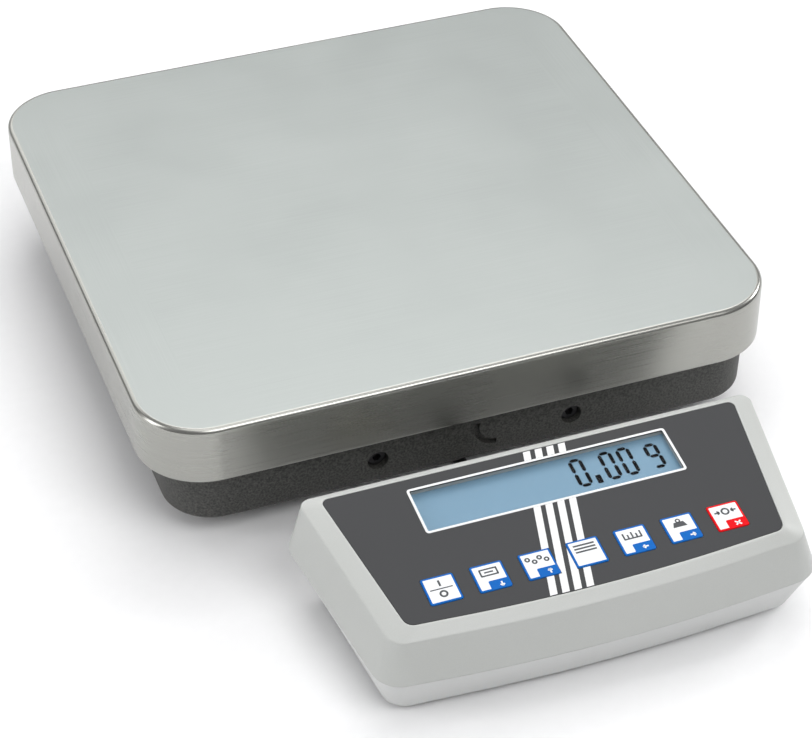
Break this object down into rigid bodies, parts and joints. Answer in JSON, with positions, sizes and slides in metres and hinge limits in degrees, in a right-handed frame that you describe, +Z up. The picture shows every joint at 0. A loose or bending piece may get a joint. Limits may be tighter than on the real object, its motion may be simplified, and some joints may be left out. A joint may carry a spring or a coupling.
{
  "type": "counting scale",
  "caption": "Bench counting scale: square stainless pan on a low cast platform with levelling feet, and a loose sloping display unit with a window and flat keys, joined by a cable.",
  "frame": {"origin": "middle of the footprint of platform and display together, on the surface it stands on", "axes": "+Z up from the surface, +Y from the display towards the back of the pan, +X to the user's right"},
  "size_m": [0.315, 0.5135, 0.075],
  "materials": {
    "stainless": "satin, fine grain, polished bends",
    "cast_aluminium": "as cast",
    "cell_aluminium": "machined",
    "zinc_steel": "zinc plated",
    "black_steel": "black oxide",
    "textured_casting": "dark grey textured paint on a casting",
    "rubber": "matte",
    "foot_plastic": "matte",
    "level_liquid": "clear",
    "black_plastic": "moulded",
    "housing_plastic": "fine moulded texture",
    "overlay_film": "printed polyester film",
    "circuit_film": "polyester film",
    "key_film": "printed film with coloured borders",
    "clear_window": "clear",
    "lcd_glass": "liquid crystal panel, blue ground",
    "backlight": "diffuser",
    "board": "solder resist",
    "socket_metal": "tinned shell",
    "cable_black": "matte sheath"
  },
  "bodies": {
    "base": {"base_housing": "textured_casting", "lower_spacer": "zinc_steel", "load_cell": "cell_aluminium", "load_cell_screws": "zinc_steel", "overload_stops": "zinc_steel", "stop_nuts": "zinc_steel", "front_screws": "black_steel", "spirit_level": "cell_aluminium", "level_glass": "level_liquid", "foot_nuts": "zinc_steel", "cable_gland": "black_plastic", "upper_cover": "housing_plastic", "lower_cover": "housing_plastic", "display_feet": "rubber", "keypad_overlay": "overlay_film", "keypad_circuit": "circuit_film", "display_window": "clear_window", "lcd_panel": "lcd_glass", "lcd_backlight": "backlight", "lcd_frame": "black_plastic", "main_board": "board", "board_parts": "black_plastic", "board_screws": "zinc_steel", "cover_screws": "zinc_steel", "data_socket": "socket_metal", "power_socket": "black_plastic", "strain_relief": "cable_black", "display_cable": "cable_black", "platform_cable": "cable_black", "cable_coil": "cable_black"},
    "carrier": {"pan_carrier": "cast_aluminium", "pan_buffers": "rubber", "carrier_screws": "zinc_steel", "upper_spacer": "zinc_steel"},
    "pan": {"weighing_pan": "stainless"},
    "key_power": {"key_power": "key_film"},
    "key_print": {"key_print": "key_film"},
    "key_reference": {"key_reference": "key_film"},
    "key_mode": {"key_mode": "key_film"},
    "key_resolution": {"key_resolution": "key_film"},
    "key_unit": {"key_unit": "key_film"},
    "key_tare": {"key_tare": "key_film"},
    "foot_1": {"foot_disc_1": "foot_plastic", "foot_stud_1": "zinc_steel"},
    "foot_2": {"foot_disc_2": "foot_plastic", "foot_stud_2": "zinc_steel"},
    "foot_3": {"foot_disc_3": "foot_plastic", "foot_stud_3": "zinc_steel"},
    "foot_4": {"foot_disc_4": "foot_plastic", "foot_stud_4": "zinc_steel"}
  },
  "joints": [
    {"name": "load_deflection", "type": "slide", "parent": "base", "child": "carrier", "axis": [0, 0, -1], "range_m": [0, 0.0004], "stiffness_N_per_m": 300000, "springref_m": -0.0002, "deforming": ["load_cell"]},
    {"name": "pan_lift", "type": "slide", "parent": "carrier", "child": "pan", "axis": [0, 0, 1], "range_m": [0, 0.035]},
    {"name": "press_power", "type": "slide", "parent": "base", "child": "key_power", "axis": [0, 0.1253, -0.9921], "range_m": [0, 0.0004], "stiffness_N_per_m": 6000, "springref_m": -0.0001},
    {"name": "press_print", "type": "slide", "parent": "base", "child": "key_print", "axis": [0, 0.1253, -0.9921], "range_m": [0, 0.0004], "stiffness_N_per_m": 6000, "springref_m": -0.0001},
    {"name": "press_reference", "type": "slide", "parent": "base", "child": "key_reference", "axis": [0, 0.1253, -0.9921], "range_m": [0, 0.0004], "stiffness_N_per_m": 6000, "springref_m": -0.0001},
    {"name": "press_mode", "type": "slide", "parent": "base", "child": "key_mode", "axis": [0, 0.1253, -0.9921], "range_m": [0, 0.0004], "stiffness_N_per_m": 6000, "springref_m": -0.0001},
    {"name": "press_resolution", "type": "slide", "parent": "base", "child": "key_resolution", "axis": [0, 0.1253, -0.9921], "range_m": [0, 0.0004], "stiffness_N_per_m": 6000, "springref_m": -0.0001},
    {"name": "press_unit", "type": "slide", "parent": "base", "child": "key_unit", "axis": [0, 0.1253, -0.9921], "range_m": [0, 0.0004], "stiffness_N_per_m": 6000, "springref_m": -0.0001},
    {"name": "press_tare", "type": "slide", "parent": "base", "child": "key_tare", "axis": [0, 0.1253, -0.9921], "range_m": [0, 0.0004], "stiffness_N_per_m": 6000, "springref_m": -0.0001},
    {"name": "foot_height_1", "type": "slide", "parent": "base", "child": "foot_1", "axis": [0, 0, -1], "range_m": [0, 0.005]},
    {"name": "foot_height_2", "type": "slide", "parent": "base", "child": "foot_2", "axis": [0, 0, -1], "range_m": [0, 0.005]},
    {"name": "foot_height_3", "type": "slide", "parent": "base", "child": "foot_3", "axis": [0, 0, -1], "range_m": [0, 0.005]},
    {"name": "foot_height_4", "type": "slide", "parent": "base", "child": "foot_4", "axis": [0, 0, -1], "range_m": [0, 0.005]}
  ]
}
